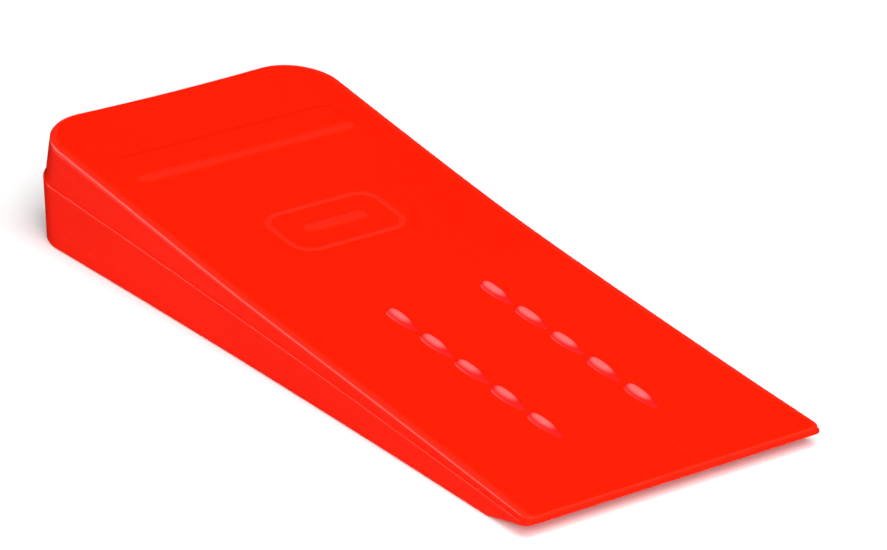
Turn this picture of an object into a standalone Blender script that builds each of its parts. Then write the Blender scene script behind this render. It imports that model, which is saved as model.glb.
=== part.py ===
"""Felling wedge: a tapered plastic wedge driven into a saw cut to tip a tree.

Frame: metres, +Z up, +Y towards the thick head that is struck, -Y towards the thin tip.
The origin is the centre of the footprint, on the surface that the wedge rests on.
"""

import bmesh
import bpy
import numpy as np
from math import atan, cos, pi, radians, sin

MM = 0.001

# Body, seen from above
LENGTH = 200 * MM
HEAD_WIDTH = 81.7 * MM
TIP_WIDTH = 78.9 * MM
WAIST = 1.1 * MM  # how far each side curves in at half length
HEAD_CORNER_RADIUS = 13.7 * MM
TIP_CORNER_RADIUS = 2.0 * MM

# Body, seen from the side: a shallow lead-in slope, then a steeper lifting slope
TIP_TOP = 5.2 * MM
TIP_UNDERSIDE = 3.5 * MM
TIP_BEVEL = 14.6 * MM  # how far back the underside starts to rise
LEAD_SLOPE = 0.0905
LIFT_SLOPE = 0.1361
SLOPE_CHANGE_Y = 11.4 * MM
SLOPE_BLEND = 10 * MM
PARTING_TIP = 3.75 * MM  # height of the lower half's lip at the tip
PARTING_HEAD = 16.2 * MM
PARTING_STEP = 0.40 * MM  # the upper half is this much smaller all round
LOWER_DRAFT = 0.0195
UPPER_DRAFT = 0.103
EDGE_RADIUS = 0.75 * MM
EDGE_SHARE = 0.4  # the most of a thin wall that an edge's rounding may take
PARTING_ROUND = 0.2 * MM

# Barbs: two rows of teeth, blunt and tall towards the head, fading towards the tip
BARBS_IN_ROW = 5
BARB_ROW_X = 12.8 * MM
BARB_FIRST_Y = -17.0 * MM
BARB_PITCH = 13.35 * MM
BARB_LENGTH = 11.8 * MM
BARB_WIDTH = 3.6 * MM
BARB_HEIGHT = 1.25 * MM
BARB_ROOT = 1.5 * MM
BARB_OUTLINE_POINTS = 24
BARB_FULLNESS = (0.88, 0.54)  # how the half width grows from the middle towards the head end
BARB_TAIL_RISE = 0.15  # height of the crest at the tail, as a share of its height at the head end
BARB_CREST_SHIFT = 0.35  # how far the upper rings move towards the head end
BARB_RINGS = ((0.94, 0.35), (0.80, 0.68), (0.56, 0.92), (0.25, 1.0))  # size and height of each ring

# Plates set flush into the lifting face
BADGE_SIZE = (32.0 * MM, 20.0 * MM)
BADGE_Y = 28.2 * MM
BADGE_CORNER_RADIUS = 6.0 * MM
BADGE_RIM = 1.5 * MM
BADGE_BAR = (18.0 * MM, 4.4 * MM)
NAMEPLATE_SIZE = (63.0 * MM, 15.5 * MM)
NAMEPLATE_Y = 69.0 * MM
NAMEPLATE_CORNER_RADIUS = 4.0 * MM
PLATE_ROOT = 1.6 * MM
PLATE_RAISE = 0.45 * MM
CUTTER_REACH = 1.8 * MM  # how far a cutter stands above the face

FIT_GAP = 0.3 * MM

# Mesh fineness
SIDE_STATION = 8 * MM
HEAD_ARC_STEPS = 8
TIP_ARC_STEPS = 3
PLATE_ARC_STEPS = 5
SHARP_ANGLE = radians(30)

RED = (0.78, 0.013, 0.004, 1.0)
BARB_RED = (0.80, 0.035, 0.02, 1.0)


def clear_scene():
    for obj in list(bpy.data.objects):
        bpy.data.objects.remove(obj, do_unlink=True)


def collection(name):
    made = bpy.data.collections.new(name)
    bpy.context.scene.collection.children.link(made)
    return made


def plastic(name, colour, roughness):
    material = bpy.data.materials.new(name)
    material.use_nodes = True
    shader = material.node_tree.nodes["Principled BSDF"]
    shader.inputs["Base Color"].default_value = colour
    shader.inputs["Roughness"].default_value = roughness
    shader.inputs["Metallic"].default_value = 0.0
    material.diffuse_color = colour
    return material


def object_from(name, bm, home, material=None):
    """A mesh object from a bmesh, with its faces turned outwards."""
    bmesh.ops.recalc_face_normals(bm, faces=bm.faces)
    mesh = bpy.data.meshes.new(name)
    bm.to_mesh(mesh)
    bm.free()
    obj = bpy.data.objects.new(name, mesh)
    home.objects.link(obj)
    if material:
        mesh.materials.append(material)
    mesh.shade_smooth()
    mesh.set_sharp_from_angle(angle=SHARP_ANGLE)
    return obj


def side_walls(bm, rings):
    """Vertex loops for the rings of points, joined ring to ring by quads."""
    loops = [[bm.verts.new(point) for point in ring] for ring in rings]
    for low, high in zip(loops, loops[1:]):
        for i in range(len(low)):
            j = (i + 1) % len(low)
            bm.faces.new((low[i], low[j], high[j], high[i]))
    return loops


def cut(target, cutters, tools):
    """Subtracts each cutter from the target, and keeps it as a wire helper."""
    for cutter in cutters:
        for old in cutter.users_collection:
            old.objects.unlink(cutter)
        tools.objects.link(cutter)
        cutter.hide_render = True
        cutter.display_type = "WIRE"
        boolean = target.modifiers.new("cut_" + cutter.name, "BOOLEAN")
        boolean.operation = "DIFFERENCE"
        boolean.solver = "EXACT"
        boolean.object = cutter


# ---- the body's rules ----


def half_width(y):
    """Half the width at the parting line."""
    t = 2 * y / LENGTH
    middle = (HEAD_WIDTH + TIP_WIDTH) / 4
    flare = (HEAD_WIDTH - TIP_WIDTH) / 4
    return middle + flare * t + WAIST * (t * t - 1)


def top_height(y):
    """The face that lifts: two straight slopes with a soft change between them."""
    rise = TIP_TOP + LEAD_SLOPE * (y + LENGTH / 2)
    return rise + (LIFT_SLOPE - LEAD_SLOPE) * SLOPE_BLEND * np.logaddexp(
        0, (y - SLOPE_CHANGE_Y) / SLOPE_BLEND
    )


def top_slope(y):
    share = 1 / (1 + np.exp(-(y - SLOPE_CHANGE_Y) / SLOPE_BLEND))
    return LEAD_SLOPE + (LIFT_SLOPE - LEAD_SLOPE) * share


def parting_height(y):
    along = (y + LENGTH / 2) / LENGTH
    return PARTING_TIP + (PARTING_HEAD - PARTING_TIP) * along + PARTING_ROUND


def bottom_height(y):
    return TIP_UNDERSIDE * max(0.0, 1 - (y + LENGTH / 2) / TIP_BEVEL)


def outline(inset):
    """The right half of the plan, from the tip to the head, drawn in by inset(y) at its sides and head."""
    tip, head = -LENGTH / 2, LENGTH / 2 - inset(LENGTH / 2)
    points = []
    y = tip + TIP_CORNER_RADIUS
    x = half_width(y) - inset(y) - TIP_CORNER_RADIUS
    for k in range(TIP_ARC_STEPS):
        a = pi / 2 * k / TIP_ARC_STEPS
        points.append((x + TIP_CORNER_RADIUS * sin(a), y - TIP_CORNER_RADIUS * cos(a)))
    radius = HEAD_CORNER_RADIUS - inset(LENGTH / 2)
    last = head - radius
    count = round((last - y) / SIDE_STATION)
    stations = set(np.linspace(y, last, count + 1)) | {tip + TIP_BEVEL}
    points += [(half_width(s) - inset(s), s) for s in sorted(stations)]
    x = points[-1][0] - radius
    for k in range(1, HEAD_ARC_STEPS + 1):
        a = pi / 2 * k / HEAD_ARC_STEPS
        points.append((x + radius * cos(a), last + radius * sin(a)))
    return points


def body_ring(inset, height):
    right = [(x, y, height(y)) for x, y in outline(inset)]
    left = [(-x, y, z) for x, y, z in reversed(right)]
    return right + left


def cap(bm, loop):
    """Closes a ring with one quad across each pair of opposite points."""
    n = len(loop)
    for i in range(n // 2 - 1):
        bm.faces.new((loop[i], loop[i + 1], loop[n - 2 - i], loop[n - 1 - i]))


def body_mesh():
    """The moulded body, lofted from its underside through the parting line to the lifting face."""

    def edge(y):
        """The edge radius, smaller where the tip is too thin for it."""
        return min(EDGE_RADIUS, EDGE_SHARE * (top_height(y) - parting_height(y)))

    def low_edge(y):
        return min(EDGE_RADIUS, EDGE_SHARE * (parting_height(y) - PARTING_ROUND - bottom_height(y)))

    def lower_inset(z):
        return lambda y: LOWER_DRAFT * (parting_height(y) - z(y))

    def upper_inset(z):
        return lambda y: PARTING_STEP + UPPER_DRAFT * max(0.0, z(y) - parting_height(y))

    def above_bottom(share):
        return lambda y: bottom_height(y) + share * low_edge(y)

    def below_top(share):
        return lambda y: top_height(y) - share * edge(y)

    def rounded(inset, extra):
        return lambda y: inset(y) + extra(y)

    bend = 1 - cos(pi / 4)
    levels = [
        (rounded(lower_inset(bottom_height), low_edge), bottom_height),
        (rounded(lower_inset(above_bottom(bend)), lambda y: bend * low_edge(y)), above_bottom(bend)),
        (lower_inset(above_bottom(1)), above_bottom(1)),
        (lambda y: 0.0, lambda y: parting_height(y) - PARTING_ROUND),
        (lambda y: PARTING_STEP, parting_height),
        (upper_inset(below_top(1)), below_top(1)),
        (rounded(upper_inset(below_top(bend)), lambda y: bend * edge(y)), below_top(bend)),
        (rounded(upper_inset(top_height), edge), top_height),
    ]
    bm = bmesh.new()
    loops = side_walls(bm, [body_ring(inset, height) for inset, height in levels])
    cap(bm, loops[0])
    cap(bm, loops[-1])
    return bm


# ---- what is set into the face ----


def leaf(scale, grow=0.0):
    """A barb's outline: full and round at its head end, drawn out to a point at its tail."""
    points = []
    middle, growth = BARB_FULLNESS
    for k in range(BARB_OUTLINE_POINTS):
        a = 2 * pi * k / BARB_OUTLINE_POINTS
        along = sin(a)
        x = scale * BARB_WIDTH / 2 * cos(a) * (middle + growth * along) + grow * cos(a)
        y = (BARB_LENGTH / 2) * (along * scale + (1 - scale) * BARB_CREST_SHIFT) + grow * along
        points.append((x, y))
    return points


def barb_mesh():
    """One tooth in its own frame: root below the face, crest above it, highest near the head end."""

    def crest(y, share):
        along = y / BARB_LENGTH + 0.5
        return BARB_HEIGHT * share * (BARB_TAIL_RISE + (1 - BARB_TAIL_RISE) * along)

    rings = [[(x, y, -BARB_ROOT) for x, y in leaf(1.0)]]
    rings.append([(x, y, 0.0) for x, y in leaf(1.0)])
    for scale, share in BARB_RINGS:
        rings.append([(x, y, crest(y, share)) for x, y in leaf(scale)])
    bm = bmesh.new()
    loops = side_walls(bm, rings)
    bm.faces.new(loops[0])
    bm.faces.new(loops[-1])
    return bm


def barb_socket_mesh():
    bm = bmesh.new()
    depth, reach = BARB_ROOT + FIT_GAP, BARB_HEIGHT
    rings = [[(x, y, z) for x, y in leaf(1.0, FIT_GAP)] for z in (-depth, reach)]
    loops = side_walls(bm, rings)
    bm.faces.new(loops[0])
    bm.faces.new(loops[-1])
    return bm


def rounded_rectangle(width, depth, radius):
    points = []
    for quarter, (sx, sy) in enumerate(((1, 1), (-1, 1), (-1, -1), (1, -1))):
        cx, cy = sx * (width / 2 - radius), sy * (depth / 2 - radius)
        for k in range(PLATE_ARC_STEPS + 1):
            a = pi / 2 * (quarter + k / PLATE_ARC_STEPS)
            points.append((cx + radius * cos(a), cy + radius * sin(a)))
    return points


def slab_mesh(width, depth, radius, low, high):
    """A flat plate with round corners, from its low face to its high face."""
    bm = bmesh.new()
    plan = rounded_rectangle(width, depth, radius)
    loops = side_walls(bm, [[(x, y, z) for x, y in plan] for z in (low, high)])
    bm.faces.new(loops[0])
    bm.faces.new(loops[-1])
    return bm


def set_on_face(obj, x, y):
    """Places a piece on the lifting face, with its own z square to the face."""
    obj.location = (x, y, top_height(y))
    obj.rotation_euler = (atan(top_slope(y)), 0, 0)


def badge(name, parts, tools, material):
    """A blank badge: a flush plate with a raised rim and a plain raised bar."""
    width, depth = BADGE_SIZE
    plate = object_from(
        name, slab_mesh(width, depth, BADGE_CORNER_RADIUS, -PLATE_ROOT, PLATE_RAISE), parts, material
    )
    recess_bm = slab_mesh(
        width - 2 * BADGE_RIM,
        depth - 2 * BADGE_RIM,
        BADGE_CORNER_RADIUS - BADGE_RIM,
        0.0,
        CUTTER_REACH,
    )
    recess = object_from(name + "_recess", recess_bm, tools)
    bar_cut = object_from(
        name + "_bar_space",
        slab_mesh(*BADGE_BAR, BADGE_BAR[1] / 2 - FIT_GAP / 2, -PLATE_RAISE, CUTTER_REACH + FIT_GAP),
        tools,
    )
    cut(recess, [bar_cut], tools)
    cut(plate, [recess], tools)
    for piece in (plate, recess, bar_cut):
        set_on_face(piece, 0, BADGE_Y)
    return plate


def pocket(name, size, radius, y, tools):
    """The hole that a plate is set in, a gap larger all round and a gap deeper."""
    width, depth = size
    grow = 2 * FIT_GAP
    bm = slab_mesh(width + grow, depth + grow, radius + FIT_GAP, -PLATE_ROOT - FIT_GAP, CUTTER_REACH)
    space = object_from(name, bm, tools)
    set_on_face(space, 0, y)
    return space


def main():
    clear_scene()
    parts = collection("felling_wedge")
    tools = collection("cutters")
    moulded = plastic("moulded_red", RED, 0.34)
    bright = plastic("barb_red", BARB_RED, 0.30)

    body = object_from("wedge_body", body_mesh(), parts, moulded)
    spaces = [
        pocket("badge_pocket", BADGE_SIZE, BADGE_CORNER_RADIUS, BADGE_Y, tools),
        pocket("nameplate_pocket", NAMEPLATE_SIZE, NAMEPLATE_CORNER_RADIUS, NAMEPLATE_Y, tools),
    ]
    for side, x in (("left", -BARB_ROW_X), ("right", BARB_ROW_X)):
        for number in range(1, BARBS_IN_ROW + 1):
            y = BARB_FIRST_Y - BARB_PITCH * (number - 1)
            name = f"barb_{side}_{number}"
            set_on_face(object_from(name, barb_mesh(), parts, bright), x, y)
            socket = object_from(name + "_socket", barb_socket_mesh(), tools)
            set_on_face(socket, x, y)
            spaces.append(socket)
    cut(body, spaces, tools)

    badge("badge_plate", parts, tools, moulded)
    plate_bm = slab_mesh(*NAMEPLATE_SIZE, NAMEPLATE_CORNER_RADIUS, -PLATE_ROOT, PLATE_RAISE)
    set_on_face(object_from("nameplate", plate_bm, parts, moulded), 0, NAMEPLATE_Y)


main()
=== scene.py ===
"""Felling wedge: the finished look of the moulded body, its barbs, its badge and its nameplate.

Everything is in metres in the wedge's own frame: +Z up, +Y towards the struck head, -Y towards the tip.
"""

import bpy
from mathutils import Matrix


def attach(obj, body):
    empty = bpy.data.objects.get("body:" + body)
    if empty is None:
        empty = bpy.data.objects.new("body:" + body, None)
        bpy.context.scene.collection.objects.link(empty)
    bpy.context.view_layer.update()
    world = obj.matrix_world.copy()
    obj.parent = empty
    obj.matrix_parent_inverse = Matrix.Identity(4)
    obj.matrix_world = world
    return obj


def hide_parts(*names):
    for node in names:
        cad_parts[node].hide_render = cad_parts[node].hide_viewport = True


bl_info = {
    "name": "Felling wedge",
    "version": (1, 0, 0),
    "blender": (4, 5, 0),
    "location": "View3D > Sidebar > Felling Wedge",
    "description": "Builds a moulded plastic felling wedge with gripping barbs and blank plates",
    "category": "Add Mesh",
}

from math import cos, e, pi, radians, sin, sqrt
from types import SimpleNamespace

import bmesh
import bpy
import numpy as np
from bpy.props import FloatProperty, FloatVectorProperty, IntProperty, PointerProperty
from mathutils import Vector

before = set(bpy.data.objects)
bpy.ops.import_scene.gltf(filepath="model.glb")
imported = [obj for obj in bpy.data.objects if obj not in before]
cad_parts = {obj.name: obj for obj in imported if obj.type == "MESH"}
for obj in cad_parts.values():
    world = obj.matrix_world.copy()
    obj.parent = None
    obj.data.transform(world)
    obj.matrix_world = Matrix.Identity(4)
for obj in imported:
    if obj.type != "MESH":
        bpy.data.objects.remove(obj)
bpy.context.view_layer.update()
BODY = "root"
MM = 0.001


# ---- sizes and colours that a user would change ----


def length_property(name, description, default):
    return FloatProperty(name=name, description=description, default=default, unit="LENGTH", precision=5)


def colour_property(name, description, default):
    return FloatVectorProperty(
        name=name, description=description, default=default, size=3, subtype="COLOR", min=0.0, max=1.0
    )


def number_property(name, description, default):
    return FloatProperty(name=name, description=description, default=default, precision=4)


class WedgeBodySizes(bpy.types.PropertyGroup):
    length: length_property("Length", "From the tip to the struck head", 200 * MM)
    head_width: length_property("Head width", "Width of the thick end", 81.7 * MM)
    tip_width: length_property("Tip width", "Width of the thin end", 78.9 * MM)
    waist: length_property("Waist", "How far each side curves in at half length", 1.1 * MM)
    head_corner: length_property("Head corner", "Radius of the head's corners in plan", 13.7 * MM)
    tip_corner: length_property("Tip corner", "Radius of the tip's corners in plan", 2.0 * MM)
    tip_top: length_property("Tip top", "Height of the lifting face at the tip", 5.2 * MM)
    tip_underside: length_property("Tip underside", "Height of the underside at the tip", 3.5 * MM)
    tip_bevel: length_property("Tip bevel", "How far back the underside starts to rise", 14.6 * MM)
    lead_slope: number_property("Lead slope", "Rise over run of the face near the tip", 0.0905)
    lift_slope: number_property("Lift slope", "Rise over run of the face near the head", 0.1361)
    slope_change: length_property("Slope change", "Where along Y the two slopes meet", 11.4 * MM)
    slope_blend: length_property("Slope blend", "How gently the slopes meet", 10 * MM)
    parting_tip: length_property("Parting at tip", "Height of the parting line at the tip", 3.95 * MM)
    parting_head: length_property("Parting at head", "Height of the parting line at the head", 16.4 * MM)
    parting_step: length_property("Parting step", "How much smaller the upper half is", 0.40 * MM)
    lip_round: length_property("Lip round", "Rounding of the lower half's lip", 0.22 * MM)
    lower_draft: number_property("Lower draft", "Lean of the lower half's sides", 0.0195)
    upper_draft: number_property("Upper draft", "Lean of the upper half's sides", 0.103)
    edge_radius: length_property("Edge radius", "Rounding of the long edges", 0.75 * MM)
    sink: length_property("Sink", "How deep the thick end's face sank as it cooled", 0.22 * MM)
    head_dish: length_property("Head dish", "How far the struck face is hollow", 0.6 * MM)


class WedgeBarbSizes(bpy.types.PropertyGroup):
    count: IntProperty(name="Barbs in a row", description="Teeth in each of the two rows", default=5, min=1)
    row_x: length_property("Row offset", "Distance of each row from the middle", 12.8 * MM)
    first_y: length_property("First barb", "Where along Y the barb nearest the head stands", -17.0 * MM)
    pitch: length_property("Pitch", "Distance from one barb to the next", 13.35 * MM)
    length: length_property("Barb length", "From the steep end to the tail", 11.7 * MM)
    width: length_property("Barb width", "Across the steep end", 3.3 * MM)
    height: length_property("Barb height", "Height of the ridge at its peak", 1.15 * MM)
    seed: IntProperty(name="Seed", description="Chooses the small differences between barbs", default=7)


class WedgePlateSizes(bpy.types.PropertyGroup):
    badge_width: length_property("Badge width", "Across the wedge", 32.0 * MM)
    badge_depth: length_property("Badge depth", "Along the wedge", 20.0 * MM)
    badge_y: length_property("Badge position", "Where along Y the badge's middle is", 28.2 * MM)
    badge_corner: length_property("Badge corner", "Radius of the badge's corners", 6.0 * MM)
    badge_rim: length_property("Badge rim", "Width of the raised rim", 2.3 * MM)
    name_width: length_property("Nameplate width", "Across the wedge", 63.0 * MM)
    name_depth: length_property("Nameplate depth", "Along the wedge", 15.5 * MM)
    name_y: length_property("Nameplate position", "Where along Y its middle is", 69.0 * MM)
    name_corner: length_property("Nameplate corner", "Radius of its corners", 4.0 * MM)
    relief: length_property("Relief", "How far the plates stand out of the face", 0.42 * MM)


class WedgeFinish(bpy.types.PropertyGroup):
    plastic: colour_property("Plastic", "Colour of the moulded plastic", (0.80, 0.0106, 0.0016))
    # paler colour for rubs and wear, also used as a painted highlight on edges, the lip and the plates
    scuffed: colour_property("Scuffed plastic", "Colour where the skin is rubbed", (0.95, 0.05, 0.03))
    barb: colour_property("Barb plastic", "Colour of the barbs", (0.74, 0.010, 0.008))
    # painted highlight: the pale colour laid along each barb's crest
    barb_crest: colour_property("Barb crest", "Colour where a barb's crest is rubbed", (1.0, 0.140, 0.140))
    floor: colour_property("Floor", "Colour of the floor", (0.90, 0.90, 0.90))


# ---- writing node trees as expressions ----


class Socket:
    """An output of a node that can stand in a sum like a number."""

    def __init__(self, graph, link):
        self.graph, self.link = graph, link

    def math(self, operation, *others):
        return self.graph.math(operation, self, *others)

    def __add__(self, other):
        return self.math("ADD", other)

    def __radd__(self, other):
        return self.graph.math("ADD", other, self)

    def __sub__(self, other):
        return self.math("SUBTRACT", other)

    def __rsub__(self, other):
        return self.graph.math("SUBTRACT", other, self)

    def __mul__(self, other):
        return self.math("MULTIPLY", other)

    def __rmul__(self, other):
        return self.graph.math("MULTIPLY", other, self)

    def __truediv__(self, other):
        return self.math("DIVIDE", other)

    def __rtruediv__(self, other):
        return self.graph.math("DIVIDE", other, self)

    def __pow__(self, other):
        return self.math("POWER", other)

    def __neg__(self):
        return self.graph.math("SUBTRACT", 0.0, self)

    def __abs__(self):
        return self.math("ABSOLUTE")


class Graph:
    """One node tree, for a material or for geometry."""

    def __init__(self, tree):
        self.tree = tree

    def node(self, kind, settings=None, values=None):
        """A new node, with its settings made first and then its inputs, given by name or number."""
        made = self.tree.nodes.new(kind)
        for key, value in (settings or {}).items():
            setattr(made, key, value)
        for key, value in (values or {}).items():
            if isinstance(value, Socket):
                self.tree.links.new(value.link, made.inputs[key])
            else:
                made.inputs[key].default_value = value
        return made

    def out(self, kind, settings=None, values=None, output=0):
        return Socket(self, self.node(kind, settings, values).outputs[output])

    def math(self, operation, *terms):
        return self.out("ShaderNodeMath", {"operation": operation}, dict(enumerate(terms)))

    def vector(self, x, y, z):
        return self.out("ShaderNodeCombineXYZ", None, {0: x, 1: y, 2: z})

    def parts(self, vector):
        made = self.node("ShaderNodeSeparateXYZ", None, {0: vector})
        return [Socket(self, output) for output in made.outputs]

    def mix_colour(self, share, first, second):
        """The first colour where share is 0, and the second where it is 1."""
        colours = [tuple(c) + (1.0,) if not isinstance(c, Socket) else c for c in (first, second)]
        return self.out(
            "ShaderNodeMix",
            {"data_type": "RGBA"},
            {0: share, 6: colours[0], 7: colours[1]},
            2,
        )

    def step(self, value, start, end):
        """0 below start, 1 above end, and smooth between."""
        return self.out(
            "ShaderNodeMapRange",
            {"interpolation_type": "SMOOTHSTEP"},
            {"Value": value, "From Min": start, "From Max": end},
        )


def larger(value, other):
    return value.math("MAXIMUM", other)


def smaller(value, other):
    return value.math("MINIMUM", other)


def square_root(value):
    return value.math("SQRT")


def exponential(value):
    return value.math("EXPONENT")


def natural_log(value):
    return value.math("LOGARITHM", e)


# ---- the wedge's rules, on sockets; half_width takes plain numbers too ----

SINK_SPREAD = 1.15  # how fast the sink fades towards the sides


def half_width(body, y):
    t = 2 * y / body.length
    middle = (body.head_width + body.tip_width) / 4
    flare = (body.head_width - body.tip_width) / 4
    return middle + flare * t + body.waist * (t * t - 1)


def face_height(body, x, y):
    """The lifting face: a shallow slope, a soft change to a steeper one, and a slight sink."""
    rise = body.tip_top + body.lead_slope * (y + body.length / 2)
    bend = natural_log(1 + exponential((y - body.slope_change) / body.slope_blend))
    across = 2 * x / body.head_width
    thick = larger(2 * y / body.length, 0.0)
    sunk = body.sink * larger(1 - across * across * SINK_SPREAD, 0.0) * thick
    return rise + (body.lift_slope - body.lead_slope) * body.slope_blend * bend - sunk


def face_slope(body, y):
    share = 1 / (1 + exponential(-1 * (y - body.slope_change) / body.slope_blend))
    return body.lead_slope + (body.lift_slope - body.lead_slope) * share


def parting_height(body, y):
    along = (y + body.length / 2) / body.length
    return body.parting_tip + (body.parting_head - body.parting_tip) * along


def underside_height(body, y):
    return body.tip_underside * larger(1 - (y + body.length / 2) / body.tip_bevel, 0.0)


# ---- meshes and geometry trees ----


def object_from(name, bm):
    mesh = bpy.data.meshes.new(name)
    bm.to_mesh(mesh)
    bm.free()
    obj = bpy.data.objects.new(name, mesh)
    bpy.context.scene.collection.objects.link(obj)
    return obj


def new_tree(name):
    """An empty geometry tree with a geometry input and output, as (graph, its group input)."""
    tree = bpy.data.node_groups.new(name, "GeometryNodeTree")
    tree.interface.new_socket("Geometry", in_out="INPUT", socket_type="NodeSocketGeometry")
    tree.interface.new_socket("Geometry", in_out="OUTPUT", socket_type="NodeSocketGeometry")
    tree.interface.new_socket("Material", in_out="INPUT", socket_type="NodeSocketMaterial")
    graph = Graph(tree)
    return graph, graph.node("NodeGroupInput")


def named_inputs(graph, source, group, names):
    """A named input on the tree for each size, as a namespace of sockets."""
    found = {}
    for name in names:
        whole = isinstance(getattr(group, name), int)
        kind = "NodeSocketInt" if whole else "NodeSocketFloat"
        graph.tree.interface.new_socket(name, in_out="INPUT", socket_type=kind)
        found[name] = Socket(graph, source.outputs[name])
    return SimpleNamespace(**found)


def close_tree(graph, geometry, material):
    """Ends a tree: real geometry instead of instances, with its material."""
    real = graph.out("GeometryNodeRealizeInstances", None, {"Geometry": geometry})
    dressed = graph.out("GeometryNodeSetMaterial", None, {"Geometry": real, "Material": material})
    graph.node("NodeGroupOutput", None, {"Geometry": dressed})


def grow(blank, graph, material, *groups):
    """Runs the tree on a blank mesh and keeps the result as a plain mesh."""
    modifier = blank.modifiers.new("grow", "NODES")
    modifier.node_group = graph.tree
    for item in graph.tree.interface.items_tree:
        if item.in_out != "INPUT" or item.socket_type == "NodeSocketGeometry":
            continue
        if item.name == "Material":
            modifier[item.identifier] = material
            continue
        owner = next(group for group in groups if hasattr(group, item.name))
        modifier[item.identifier] = getattr(owner, item.name)
    bpy.context.view_layer.update()
    evaluated = blank.evaluated_get(bpy.context.evaluated_depsgraph_get())
    mesh = bpy.data.meshes.new_from_object(evaluated)
    blank.modifiers.remove(modifier)
    blank.data = mesh
    if not mesh.polygons:
        raise RuntimeError(f"{blank.name} came out empty")
    return blank


def smooth(obj, degrees):
    """Shades an object smooth, but for edges that turn by more than the angle."""
    obj.data.shade_smooth()
    obj.data.set_sharp_from_angle(angle=radians(degrees))


BODY_RULES = tuple(WedgeBodySizes.__annotations__)
FACE_RULES = (
    "length", "head_width", "tip_top", "lead_slope", "lift_slope", "slope_change", "slope_blend", "sink",
)


# ---- the body ----

COLUMNS = 40
ROW_STEP = 3 * MM
CORNER_ROWS = 14
TIP_ROWS = 5
ROUND_STEPS = 6
RING_MARKS = ("half", "wall", "over", "draw", "lip")
LIP_STEPS = 3
WALL_STEPS = 6
EDGE_SHARE = 0.4  # the most of a thin wall that an edge's rounding may take
TIP_SHARE = 0.4  # how much of the sides' inset the tip's front takes too
LIP_WEAR_AND_HIGHLIGHT = 0.5  # how much the lip is rubbed and lit by a painted highlight, against 1 for the outer edges
DISH_START = 0.36  # where along Y the struck face's hollow begins, as a share of the length
DISH_SPREAD = 2.6  # how fast the hollow fades towards the sides


def plan_rows(body):
    """Rows of the plan from tip to head, as (y, half width), round corners included."""
    tip, head = -body.length / 2, body.length / 2
    rows = []
    y, r = tip + body.tip_corner, body.tip_corner
    for k in range(TIP_ROWS):
        a = pi / 2 * k / TIP_ROWS
        rows.append((y - r * cos(a), half_width(body, y) - r + r * sin(a)))
    last, r = head - body.head_corner, body.head_corner
    bevel = tip + body.tip_bevel
    for start, end in ((y, bevel), (bevel, last)):
        count = round((end - start) / ROW_STEP)
        rows += [(s, half_width(body, s)) for s in np.linspace(start, end, count + 1)[:-1]]
    for k in range(CORNER_ROWS + 1):
        a = pi / 2 * k / CORNER_ROWS
        rows.append((last + r * sin(a), half_width(body, last) - r + r * cos(a)))
    return rows


def levels():
    """Rings from the underside to the face: (half, wall, over, draw, lip, wear).

    half is 0 below the parting line and 1 above it. wall runs from 0 at the parting line to 1 where the
    edge's rounding starts. over and draw are how far the rounding has risen and drawn in. lip is how far
    the lower half's lip has turned over. The last mark is how much the place is rubbed in use and lightened
    as a painted highlight along the rounded edges and the lip.
    """
    turns = [pi / 2 * k / ROUND_STEPS for k in range(ROUND_STEPS)]
    walls = [k / WALL_STEPS for k in range(WALL_STEPS)]
    rounding = [(1.0, sin(pi / 2 - a), 1 - cos(pi / 2 - a), 0.0, 1.0) for a in turns]
    lower = [(0.0, *marks) for marks in rounding]
    lower += [(0.0, 1 - wall, 0.0, 0.0, 0.0, 0.0) for wall in walls]
    for k in range(LIP_STEPS + 1):
        lower.append((0.0, 0.0, 0.0, 0.0, k / LIP_STEPS, LIP_WEAR_AND_HIGHLIGHT * k / LIP_STEPS))
    upper = [(1.0, wall, 0.0, 0.0, 0.0, 0.0) for wall in walls]
    upper += [(1.0, *marks) for marks in reversed(rounding)]
    return lower, upper


def body_blank(body):
    """The body before its rules are applied: rings round the plan, each point marked with its place."""
    bm = bmesh.new()
    layers = [bm.verts.layers.float.new(name) for name in (*RING_MARKS, "wear_and_highlight")]
    rows = plan_rows(body)
    n, m = len(rows), COLUMNS
    across = [2 * k / m - 1 for k in range(m + 1)]

    def vertex(x, y, marks):
        made = bm.verts.new((x, y, 0.0))
        for layer, mark in zip(layers, marks):
            made[layer] = mark
        return made

    def grid(marks):
        return [[vertex(u * w, y, marks) for u in across] for y, w in rows]

    def rim(points):
        """The points round the grid's edge, anticlockwise from the tip's left corner."""
        return (
            points[0][:-1]
            + [row[-1] for row in points[:-1]]
            + points[-1][:0:-1]
            + [row[0] for row in points[:0:-1]]
        )

    plan = [(v.x, v.y) for v in rim([[Vector((u * w, y, 0)) for u in across] for y, w in rows])]
    lower, upper = levels()
    bottom, top = grid(lower[0]), grid(upper[-1])
    # inside their edges, the underside and the face get neither wear nor the painted edge highlight
    for sheet in (bottom, top):
        for line in sheet[1:-1]:
            for v in line[1:-1]:
                v[layers[-1]] = 0.0
    for i in range(n - 1):
        for j in range(m):
            bm.faces.new((bottom[i][j], bottom[i + 1][j], bottom[i + 1][j + 1], bottom[i][j + 1]))
            bm.faces.new((top[i][j], top[i][j + 1], top[i + 1][j + 1], top[i + 1][j]))
    rings = [rim(bottom)]
    rings += [[vertex(x, y, marks) for x, y in plan] for marks in lower[1:] + upper[:-1]]
    rings.append(rim(top))
    for low, high in zip(rings, rings[1:]):
        for i in range(len(low)):
            j = (i + 1) % len(low)
            bm.faces.new((low[i], low[j], high[j], high[i]))
    return object_from("wedge_moulding", bm)


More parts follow.
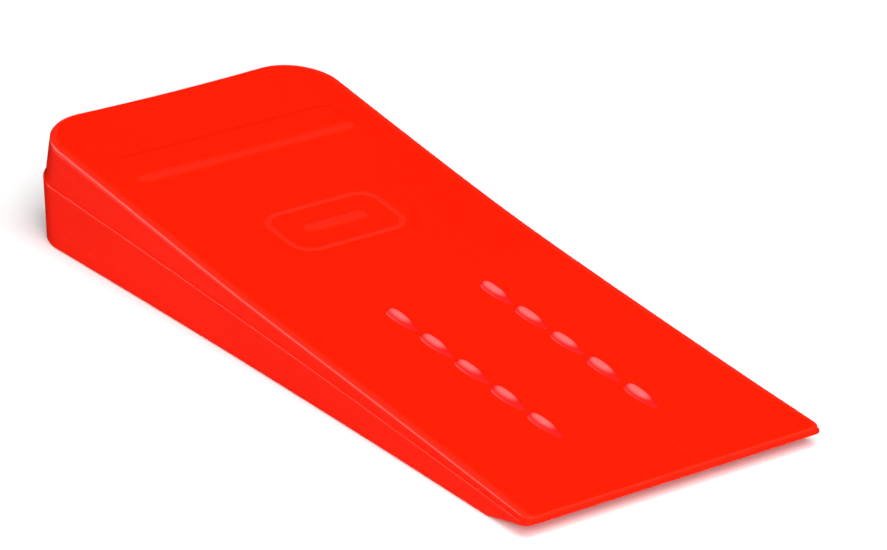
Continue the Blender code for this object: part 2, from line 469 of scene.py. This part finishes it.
def body_tree(body_sizes):
    """Raises and draws in each marked point of the blank by the wedge's rules."""
    graph, source = new_tree("wedge_form")
    body = named_inputs(graph, source, body_sizes, BODY_RULES)

    def mark(name):
        return graph.out("GeometryNodeInputNamedAttribute", {"data_type": "FLOAT"}, {"Name": name})

    half, wall, over, draw, lip = (mark(name) for name in RING_MARKS)
    lip_turn = graph.math("SINE", lip * (pi / 2))
    lip_drop = 1 - graph.math("COSINE", lip * (pi / 2))
    x, y, _ = graph.parts(graph.out("GeometryNodeInputPosition"))

    def lift(x, y):
        """Height and inset of each point for a place in plan."""
        low, mid, high = underside_height(body, y), parting_height(body, y), face_height(body, x, y)
        lower_lip = mid - body.lip_round
        low_edge = smaller((lower_lip - low) * EDGE_SHARE, body.edge_radius)
        high_edge = smaller((high - mid) * EDGE_SHARE, body.edge_radius)
        lower_z = lower_lip - wall * (lower_lip - low - low_edge) - over * low_edge
        lower_z = lower_z + body.lip_round * lip_turn
        lower_in = body.lower_draft * (mid - lower_z) + draw * low_edge + lip_drop * body.lip_round
        upper_z = mid + wall * (high - mid - high_edge) + over * high_edge
        upper_in = body.parting_step + body.upper_draft * (upper_z - mid) + draw * high_edge
        return lower_z + (upper_z - lower_z) * half, lower_in + (upper_in - lower_in) * half

    _, inset = lift(x, y)
    narrow = 1 - inset / half_width(body, y)
    run = y + body.length / 2
    tip_inset = inset * TIP_SHARE * (1 - run / body.length)
    shorter = run * (1 - inset / body.length) + tip_inset
    near_head = graph.step(y, body.length * DISH_START, body.length / 2)
    middle = larger(1 - (DISH_SPREAD * x / body.head_width) ** 2, 0.0)
    new_x = x * narrow
    new_y = shorter - body.length / 2 - body.head_dish * middle * near_head
    z, _ = lift(new_x, new_y)
    place = graph.vector(new_x, new_y, z)
    moved = graph.out(
        "GeometryNodeSetPosition", None, {"Geometry": Socket(graph, source.outputs[0]), "Position": place}
    )
    close_tree(graph, moved, Socket(graph, source.outputs["Material"]))
    return graph


# ---- the barbs ----

BARB_ROWS = 26
BARB_COLUMNS = 18
BARB_PEAK = 0.58  # where along the barb the ridge is highest, from tail to steep end
BARB_CLIMB = 0.7  # how fast the ridge rises from the tail, less being faster
BARB_BLUNT = (3.6, 0.6)  # how late and how steeply the ridge falls at the steep end
BARB_TAIL = 0.28  # width of the tail, as a share of the full width
BARB_SPREAD = 0.9  # how fast the barb widens from the tail, less being faster
BARB_NOSE = (3.2, 0.96)  # how late the steep end narrows in plan, and how far
BARB_ROOF = 0.9  # roundness of the barb's section
BARB_FLARE = 1.08  # width at the face, against the width of the buried root
BARB_ROOT = 0.9 * MM
CREST_HIGHLIGHT = (2.4, 1.3)  # how fast the painted highlight along the crest fades, along and across
BARB_TURN = 1.6  # the most, in degrees, that a barb is turned out of line
BARB_SCALES = ((0.95, 1.04), (0.96, 1.02), (0.93, 1.04))  # least and most size along each axis


def barb_blank(barbs):
    """One barb lying along Y: a ridge that climbs from its tail and ends steeply towards the head."""

    def ridge(t):
        """Height along the barb, 0 at both ends."""
        if t < BARB_PEAK:
            return sin(pi / 2 * t / BARB_PEAK) ** BARB_CLIMB
        late, steep = BARB_BLUNT
        return max(0.0, 1 - ((t - BARB_PEAK) / (1 - BARB_PEAK)) ** late) ** steep

    def breadth(t):
        """Half width along the barb, drawn out at the tail and round at the steep end."""
        if t < BARB_PEAK:
            return BARB_TAIL + (1 - BARB_TAIL) * sin(pi / 2 * t / BARB_PEAK) ** BARB_SPREAD
        late, far = BARB_NOSE
        return sqrt(max(0.0, 1 - ((t - BARB_PEAK) / (1 - BARB_PEAK)) ** late * far))

    bm = bmesh.new()
    scuff_and_highlight_mask = bm.verts.layers.float.new("wear_and_highlight")
    rings = []
    for i in range(BARB_ROWS + 1):
        t = 0.5 - 0.5 * cos(pi * i / BARB_ROWS)
        y = barbs.length * (t - 0.5)
        wide, tall = breadth(t) * barbs.width / 2, ridge(t) * barbs.height
        ring = []
        for j in range(BARB_COLUMNS + 1):
            u = 2 * j / BARB_COLUMNS - 1
            roof = (1 - u * u) ** BARB_ROOF
            ring.append(bm.verts.new((u * wide * BARB_FLARE, y, tall * roof)))
            # painted highlight along the crest, strongest at the ridge's top, standing in for the light it
            # catches
            ring[-1][scuff_and_highlight_mask] = ridge(t) ** CREST_HIGHLIGHT[0] * roof ** CREST_HIGHLIGHT[1]
        for side in (1, -1):
            ring.append(bm.verts.new((side * wide, y, -BARB_ROOT)))
        rings.append(ring)
    for low, high in zip(rings, rings[1:]):
        for j in range(len(low)):
            k = (j + 1) % len(low)
            bm.faces.new((low[j], low[k], high[k], high[j]))
    bm.faces.new(rings[0])
    bm.faces.new(rings[-1])
    bmesh.ops.recalc_face_normals(bm, faces=bm.faces)
    return bm


def barb_tree(body_sizes, barb_sizes):
    """Sets copies of the barb along a row, each square to the face, with small differences."""
    graph, source = new_tree("barb_row")
    body = named_inputs(graph, source, body_sizes, FACE_RULES)
    barbs = named_inputs(graph, source, barb_sizes, ("count", "row_x", "first_y", "pitch", "seed"))
    side = named_inputs(graph, source, SimpleNamespace(side=1.0), ("side",)).side
    line = graph.out(
        "GeometryNodeMeshLine",
        None,
        {
            "Count": barbs.count,
            "Start Location": graph.vector(side * barbs.row_x, barbs.first_y, 0.0),
            "Offset": graph.vector(0.0, -barbs.pitch, 0.0),
        },
    )

    def spread(low, high, shift):
        return graph.out(
            "FunctionNodeRandomValue",
            {"data_type": "FLOAT"},
            {2: low, 3: high, "Seed": barbs.seed + shift + side * 10},
            1,
        )

    x, y, _ = graph.parts(graph.out("GeometryNodeInputPosition"))
    stood = graph.out(
        "GeometryNodeSetPosition",
        None,
        {"Geometry": line, "Position": graph.vector(x, y, face_height(body, x, y))},
    )
    lean = graph.math("ARCTANGENT", face_slope(body, y))
    turned = graph.vector(lean, 0.0, spread(radians(-BARB_TURN), radians(BARB_TURN), 0))
    scale = graph.vector(*(spread(*BARB_SCALES[k], k + 1) for k in range(3)))
    copies = graph.out(
        "GeometryNodeInstanceOnPoints",
        None,
        {
            "Points": stood,
            "Instance": Socket(graph, source.outputs[0]),
            "Rotation": turned,
            "Scale": scale,
        },
    )
    close_tree(graph, copies, Socket(graph, source.outputs["Material"]))
    return graph


# ---- the plates ----

PLATE_CELL = 0.3 * MM
PLATE_MARGIN = 1.2 * MM
PLATE_ROOT = 0.9 * MM
PLATE_BURIED = 0.10 * MM
RIM_SLOPE = (0.62, -0.10)  # where the rim starts and is full, in rim widths from its middle
RIM_HIGHLIGHT = 0.95  # how far the painted highlight on the rim reaches, in rim widths from its middle
BAR_SHARE = (0.56, 0.24)  # the bar's width and depth, as shares of the badge's
BAR_CORNER = 0.48  # the bar's corner radius, as a share of its depth
BAR_SLOPE = (0.4, -0.8)  # where the bar starts and is full, in rim widths from its outline
BAR_HEIGHT = 0.9  # the bar's height and painted highlight, against the rim's
NAME_EDGE = 2.6 * MM
NAME_HEIGHT = 0.85  # the pad's height, against the badge rim's
NAME_HIGHLIGHT = (0.22, 0.7)  # painted highlight all over the pad, and how much more along its lit side nearer the tip
NAME_HIGHLIGHT_REACH = 1.3  # how far the extra painted highlight reaches, in edge widths


def plate_blank(name, width, depth):
    """A thin closed slab, flat and centred, whose upper points are marked."""
    bm = bmesh.new()
    raised = bm.verts.layers.float.new("raised")
    columns, rows = round(width / PLATE_CELL), round(depth / PLATE_CELL)
    sheets = []
    for mark in (0.0, 1.0):
        sheet = []
        for i in range(rows + 1):
            line = []
            for j in range(columns + 1):
                v = bm.verts.new((width * (j / columns - 0.5), depth * (i / rows - 0.5), 0.0))
                v[raised] = mark
                line.append(v)
            sheet.append(line)
        sheets.append(sheet)
    low, high = sheets
    for i in range(rows):
        for j in range(columns):
            bm.faces.new((low[i][j], low[i + 1][j], low[i + 1][j + 1], low[i][j + 1]))
            bm.faces.new((high[i][j], high[i][j + 1], high[i + 1][j + 1], high[i + 1][j]))
    for i in range(rows):
        bm.faces.new((low[i][-1], low[i + 1][-1], high[i + 1][-1], high[i][-1]))
        bm.faces.new((low[i + 1][0], low[i][0], high[i][0], high[i + 1][0]))
    for j in range(columns):
        bm.faces.new((low[0][j], low[0][j + 1], high[0][j + 1], high[0][j]))
        bm.faces.new((low[-1][j + 1], low[-1][j], high[-1][j], high[-1][j + 1]))
    return object_from(name, bm)


def round_box_distance(x, y, width, depth, corner):
    """How far a point is outside a rectangle with round corners, negative inside it."""
    over_x = larger(abs(x) - (width / 2 - corner), 0.0)
    over_y = larger(abs(y) - (depth / 2 - corner), 0.0)
    return square_root(over_x * over_x + over_y * over_y) - corner


def badge_relief(graph, plates, x, y):
    """A rim round the badge and a plain bar across its middle, as (height, painted highlight on the rim and
    bar).
    """
    from_rim = abs(
        round_box_distance(x, y, plates.badge_width, plates.badge_depth, plates.badge_corner)
        + plates.badge_rim / 2
    )
    rim = graph.step(from_rim, *(plates.badge_rim * k for k in RIM_SLOPE))
    bar_width, bar_depth = plates.badge_width * BAR_SHARE[0], plates.badge_depth * BAR_SHARE[1]
    from_bar = round_box_distance(x, y, bar_width, bar_depth, bar_depth * BAR_CORNER)
    bar = graph.step(from_bar, *(plates.badge_rim * k for k in BAR_SLOPE)) * BAR_HEIGHT
    # painted highlight along the rim and over the bar
    highlighted = graph.step(from_rim, plates.badge_rim * RIM_HIGHLIGHT, 0.0)
    return larger(rim, bar), larger(highlighted, bar)


def nameplate_relief(graph, plates, x, y):
    """A plain pad with soft edges and a painted highlight, strongest along the side nearer the tip, as
    (height, painted highlight).
    """
    edge = round_box_distance(x, y, plates.name_width, plates.name_depth, plates.name_corner)
    pad = graph.step(edge, 0.0, -NAME_EDGE)
    from_edge = abs(y + plates.name_depth / 2 - NAME_EDGE)
    # painted highlight along the pad's side nearer the tip
    near_edge = graph.step(from_edge, NAME_EDGE * NAME_HIGHLIGHT_REACH, 0.0)
    return pad * NAME_HEIGHT, pad * (NAME_HIGHLIGHT[0] + NAME_HIGHLIGHT[1] * near_edge)


def plate_tree(kind, relief, body_sizes, plate_sizes):
    """Lays a plate on the face at its place along Y, and raises its upper side by its relief."""
    graph, source = new_tree(kind + "_form")
    body = named_inputs(graph, source, body_sizes, FACE_RULES)
    plates = named_inputs(graph, source, plate_sizes, tuple(WedgePlateSizes.__annotations__))
    x, y, _ = graph.parts(graph.out("GeometryNodeInputPosition"))
    raised = graph.out("GeometryNodeInputNamedAttribute", {"data_type": "FLOAT"}, {"Name": "raised"})
    along = y + getattr(plates, kind + "_y")
    proud, wear_and_highlight = relief(graph, plates, x, y)
    top = proud * plates.relief - PLATE_BURIED
    z = face_height(body, x, along) - PLATE_ROOT + (top + PLATE_ROOT) * raised
    # stores the painted highlight, which the plastic finish reads to lighten the plate
    highlighted = graph.out(
        "GeometryNodeStoreNamedAttribute",
        {"data_type": "FLOAT", "domain": "POINT"},
        {"Geometry": Socket(graph, source.outputs[0]), "Name": "wear_and_highlight", "Value": wear_and_highlight * raised},
    )
    moved = graph.out(
        "GeometryNodeSetPosition", None, {"Geometry": highlighted, "Position": graph.vector(x, along, z)}
    )
    close_tree(graph, moved, Socket(graph, source.outputs["Material"]))
    return graph


# ---- finishes ----

FLOW_CLOUDS, ORANGE_PEEL, FINE_GRAIN = 22, 420, 3600  # noise scales, in cells per metre
RUB_LINES, RUB_AREAS = 260, 38
CLOUD_STRETCH = (1.0, 0.45, 1.0)
RUB_STRETCH = (1.0, 0.06, 1.0)
CLOUD_SHADE = 0.955  # the darkest cloud, against the plain colour
CLOUD_RANGE = (0.32, 0.72)  # the noise values where a cloud starts and is full
RUB_LINE_RANGE, RUB_AREA_RANGE = (0.52, 0.80), (0.45, 0.75)
RUB_TINT = 0.05  # how far a rub takes the scuffed colour
WEAR_AND_HIGHLIGHT_PATCHES = (0.55, 0.9)  # least share of the marked wear and painted highlight, and how much the rub areas add to it
WEAR_AND_HIGHLIGHT_RANGE = (0.25, 0.9)
DULLNESS = {"clouds": 0.06, "grain": 0.05, "rubs": 0.08, "wear_and_highlight": 0.05}  # changes to the roughness
PEEL_SHARE = 0.6  # the orange peel's share of the bump, the rest being fine grain
BUMP_DEPTH = 0.12 * MM
FLOOR_SHADE = 0.99  # the darkest mottle, against the floor's colour


def moulded_plastic(name, colour, scuffed, scuff_and_highlight_share, roughness, specular, grain):
    """Satin moulded plastic: faint flow clouds, fine grain, orange peel and a few dull rubs.

    The share is how far marked places take the paler colour, which stands for rubbed wear and for a painted
    highlight along edges, the lip, barb crests and plates; grain is the bump's strength.
    """
    material = bpy.data.materials.new(name)
    material.use_nodes = True
    graph = Graph(material.node_tree)
    shader = graph.tree.nodes["Principled BSDF"]
    place = Socket(graph, graph.node("ShaderNodeTexCoord").outputs["Object"])

    def noise(scale, detail, stretch=(1.0, 1.0, 1.0), rough=0.5):
        where = graph.out("ShaderNodeMapping", None, {"Vector": place, "Scale": stretch})
        return graph.out(
            "ShaderNodeTexNoise",
            None,
            {"Vector": where, "Scale": scale, "Detail": detail, "Roughness": rough},
            "Fac",
        )

    clouds = noise(FLOW_CLOUDS, 3, CLOUD_STRETCH)
    peel = noise(ORANGE_PEEL, 2)
    fine = noise(FINE_GRAIN, 2)
    rub_lines = noise(RUB_LINES, 4, RUB_STRETCH, 0.65)
    rub_areas = noise(RUB_AREAS, 2)
    rubs = graph.step(rub_lines, *RUB_LINE_RANGE) * graph.step(rub_areas, *RUB_AREA_RANGE)
    cloudy = [c * CLOUD_SHADE for c in colour]
    shade = graph.mix_colour(graph.step(clouds, *CLOUD_RANGE), cloudy, colour)
    edge = graph.out("ShaderNodeAttribute", {"attribute_name": "wear_and_highlight"}, None, "Fac")
    # painted highlight, partly also real wear: marked edges, the lip, barb crests and plates take the paler
    # colour
    scuff_and_highlight_mask = graph.step(edge * (WEAR_AND_HIGHLIGHT_PATCHES[0] + rub_areas * WEAR_AND_HIGHLIGHT_PATCHES[1]), *WEAR_AND_HIGHLIGHT_RANGE)
    tint = graph.mix_colour(rubs * RUB_TINT + scuff_and_highlight_mask * scuff_and_highlight_share, shade, scuffed)
    dull = roughness + (clouds - 0.5) * DULLNESS["clouds"] + (fine - 0.5) * DULLNESS["grain"]
    dull = dull + rubs * DULLNESS["rubs"] + scuff_and_highlight_mask * DULLNESS["wear_and_highlight"]
    height = peel * PEEL_SHARE + fine * (1 - PEEL_SHARE)
    bump = graph.out(
        "ShaderNodeBump", None, {"Strength": grain, "Distance": BUMP_DEPTH, "Height": height}, "Normal"
    )
    for key, value in (("Base Color", tint), ("Roughness", dull), ("Normal", bump)):
        graph.tree.links.new(value.link, shader.inputs[key])
    shader.inputs["Specular IOR Level"].default_value = specular
    shader.inputs["Metallic"].default_value = 0.0
    return material


def floor_finish(colour):
    """A plain pale floor with a very faint mottle."""
    material = bpy.data.materials.new("pale_floor")
    material.use_nodes = True
    graph = Graph(material.node_tree)
    shader = graph.tree.nodes["Principled BSDF"]
    place = Socket(graph, graph.node("ShaderNodeTexCoord").outputs["Object"])
    mottle = graph.out("ShaderNodeTexNoise", None, {"Vector": place, "Scale": 3.0, "Detail": 2.0}, "Fac")
    tint = graph.mix_colour(mottle, [c * FLOOR_SHADE for c in colour], colour)
    graph.tree.links.new(tint.link, shader.inputs["Base Color"])
    shader.inputs["Roughness"].default_value = 0.9
    shader.inputs["Specular IOR Level"].default_value = 0.0
    return material


def body_plastic():
    """The one finish that the body and both plates share, made once."""
    found = bpy.data.materials.get("red_moulding")
    finish = bpy.context.scene.wedge_finish
    return found or moulded_plastic(
        "red_moulding",
        finish.plastic,
        finish.scuffed,
        # edges and the lip take the paler colour partly as wear and partly as a painted highlight
        scuff_and_highlight_share=0.16,
        roughness=0.25,
        specular=0.035,
        grain=0.30,
    )


def barb_plastic():
    """The barbs' own finish, duller than the body's, with a painted highlight along the crests."""
    finish = bpy.context.scene.wedge_finish
    return moulded_plastic(
        "barb_moulding",
        finish.barb,
        finish.barb_crest,
        # the barbs' crests take their pale colour as a painted highlight
        scuff_and_highlight_share=0.80,
        roughness=0.42,
        specular=0.03,
        grain=0.16,
    )


# ---- operators ----


def settle(piece, *nodes, slot):
    """Ties a finished piece to the body and to the solids that it stands for."""
    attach(piece, BODY)
    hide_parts(*nodes)


class WEDGE_OT_body(bpy.types.Operator):
    """Builds the moulded body with its parting line, slopes and rounded edges"""

    bl_idname = "wedge.body"
    bl_label = "Make Body"

    def execute(self, context):
        sizes = context.scene.wedge_body
        blank = body_blank(sizes)
        grow(blank, body_tree(sizes), body_plastic(), sizes)
        smooth(blank, degrees=32)
        settle(blank, "wedge_body", slot="moulded_red")
        return {"FINISHED"}


class WEDGE_OT_barbs(bpy.types.Operator):
    """Builds the two rows of gripping barbs"""

    bl_idname = "wedge.barbs"
    bl_label = "Make Barbs"

    def execute(self, context):
        body, barbs = context.scene.wedge_body, context.scene.wedge_barbs
        material = barb_plastic()
        graph = barb_tree(body, barbs)
        for label, side in (("left", -1.0), ("right", 1.0)):
            row = object_from("barb_row_" + label, barb_blank(barbs))
            grow(row, graph, material, body, barbs, SimpleNamespace(side=side))
            smooth(row, degrees=50)
            nodes = [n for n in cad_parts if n.startswith(f"barb_{label}_")]
            settle(row, *nodes, slot="barb_red")
        return {"FINISHED"}


def plate(scene, name, kind, relief):
    """A finished plate, whose sizes are the ones that start with its kind."""
    body, plates = scene.wedge_body, scene.wedge_plates
    width, depth = (getattr(plates, f"{kind}_{size}") + 2 * PLATE_MARGIN for size in ("width", "depth"))
    blank = plate_blank(name, width, depth)
    grow(blank, plate_tree(kind, relief, body, plates), body_plastic(), body, plates)
    smooth(blank, degrees=40)
    return blank


class WEDGE_OT_badge(bpy.types.Operator):
    """Builds the blank badge behind the barbs"""

    bl_idname = "wedge.badge"
    bl_label = "Make Badge"

    def execute(self, context):
        settle(plate(context.scene, "badge", "badge", badge_relief), "badge_plate", slot="moulded_red")
        return {"FINISHED"}


class WEDGE_OT_nameplate(bpy.types.Operator):
    """Builds the blank nameplate near the head"""

    bl_idname = "wedge.nameplate"
    bl_label = "Make Nameplate"

    def execute(self, context):
        settle(plate(context.scene, "name_band", "name", nameplate_relief), "nameplate", slot="moulded_red")
        return {"FINISHED"}


FLOOR_HALF = 4.0
LIGHTS = {  # direction from the wedge, distance, width, height and watts
    "key": ((-0.06, -0.55, 1.0), 1.6, 1.2, 1.2, 23.0),
    "edge_strip": ((-0.645, 0.75, 0.17), 1.1, 0.8, 0.28, 34.0),
}
FILL = (1.6, 1.0, 0.7, 20.0)  # distance, width, height and watts, along the camera's view
SKY_SIDE = (-0.52, -0.70, 0.10)  # where the world is brightest
SKY_SPREAD = (-0.35, 0.55)  # how that light fades away from its side
SKY_RISE = (0.12, 0.6)  # how it fades down to the horizon
SKY_STRENGTH = 0.9

CAMERA_AZIMUTH = radians(-34.73)
CAMERA_ELEVATION = radians(23.94)
CAMERA_DISTANCE = 1.1248
CAMERA_CENTRE = Vector((0.0, 0.0, 12.0)) * MM
CAMERA_AIM = Vector((7.41, -4.12, 13.86)) * MM
CAMERA_LENS = 203.4
CAMERA_SENSOR = 36.0


def toward(azimuth, elevation):
    """The unit vector from the wedge to something seen at that azimuth and elevation."""
    return Vector((sin(azimuth) * cos(elevation), -cos(azimuth) * cos(elevation), sin(elevation)))


def softbox(name, direction, distance, width, height, strength):
    """A rectangular area light that faces the wedge."""
    data = bpy.data.lights.new(name, "AREA")
    data.shape = "RECTANGLE"
    data.size, data.size_y, data.energy = width, height, strength
    obj = bpy.data.objects.new(name, data)
    away = Vector(direction).normalized()
    obj.location = away * distance
    obj.rotation_euler = (-away).to_track_quat("-Z", "Y").to_euler()
    bpy.context.scene.collection.objects.link(obj)
    return obj


class WEDGE_OT_stage(bpy.types.Operator):
    """Sets the floor, the studio light and the camera"""

    bl_idname = "wedge.stage"
    bl_label = "Make Stage"

    def execute(self, context):
        scene = context.scene
        bm = bmesh.new()
        bmesh.ops.create_grid(bm, x_segments=1, y_segments=1, size=FLOOR_HALF)
        floor = object_from("floor", bm)
        floor.data.materials.append(floor_finish(scene.wedge_finish.floor))
        floor.visible_glossy = False

        world = bpy.data.worlds.new("studio")
        world.use_nodes = True
        graph = Graph(world.node_tree)
        backdrop = graph.tree.nodes["Background"]
        way = graph.parts(graph.out("ShaderNodeTexCoord", None, None, "Generated"))
        facing = way[0] * SKY_SIDE[0] + way[1] * SKY_SIDE[1] + way[2] * SKY_SIDE[2]
        light = graph.step(facing, *SKY_SPREAD) * graph.step(way[2], *SKY_RISE)
        shade = graph.mix_colour(light, (0.0, 0.0, 0.0), (1.0, 1.0, 1.0))
        graph.tree.links.new(shade.link, backdrop.inputs["Color"])
        backdrop.inputs["Strength"].default_value = SKY_STRENGTH
        scene.world = world
        back = toward(CAMERA_AZIMUTH, CAMERA_ELEVATION)
        softbox("key", *LIGHTS["key"])
        softbox("fill", back, *FILL)
        strip = softbox("edge_strip", *LIGHTS["edge_strip"])
        strip.visible_diffuse = False

        camera_data = bpy.data.cameras.new("camera")
        camera_data.lens, camera_data.sensor_width = CAMERA_LENS, CAMERA_SENSOR
        camera_data.clip_start, camera_data.clip_end = 0.05, 20.0
        camera = bpy.data.objects.new("camera", camera_data)
        camera.location = CAMERA_CENTRE + back * CAMERA_DISTANCE
        camera.rotation_euler = (CAMERA_AIM - camera.location).to_track_quat("-Z", "Y").to_euler()
        scene.collection.objects.link(camera)
        scene.camera = camera
        scene.view_settings.view_transform = "Standard"
        return {"FINISHED"}


class WEDGE_PT_panel(bpy.types.Panel):
    """Lists the wedge's pieces and its sizes"""

    bl_idname = "WEDGE_PT_panel"
    bl_label = "Felling Wedge"
    bl_space_type = "VIEW_3D"
    bl_region_type = "UI"
    bl_category = "Felling Wedge"

    def draw(self, context):
        for operator in OPERATORS:
            self.layout.operator(operator.bl_idname)
        for name, group in GROUPS.items():
            box = self.layout.box()
            for field in group.__annotations__:
                box.prop(getattr(context.scene, name), field)


OPERATORS = (WEDGE_OT_stage, WEDGE_OT_body, WEDGE_OT_barbs, WEDGE_OT_badge, WEDGE_OT_nameplate)
GROUPS = {
    "wedge_body": WedgeBodySizes,
    "wedge_barbs": WedgeBarbSizes,
    "wedge_plates": WedgePlateSizes,
    "wedge_finish": WedgeFinish,
}


def register():
    for found in (*GROUPS.values(), *OPERATORS, WEDGE_PT_panel):
        bpy.utils.register_class(found)
    for name, group in GROUPS.items():
        setattr(bpy.types.Scene, name, PointerProperty(type=group))


def unregister():
    for name in GROUPS:
        delattr(bpy.types.Scene, name)
    for found in reversed((*GROUPS.values(), *OPERATORS, WEDGE_PT_panel)):
        bpy.utils.unregister_class(found)


def main():
    register()
    bpy.ops.wedge.stage()
    bpy.ops.wedge.body()
    bpy.ops.wedge.barbs()
    bpy.ops.wedge.badge()
    bpy.ops.wedge.nameplate()


if __name__ == "__main__":
    main()
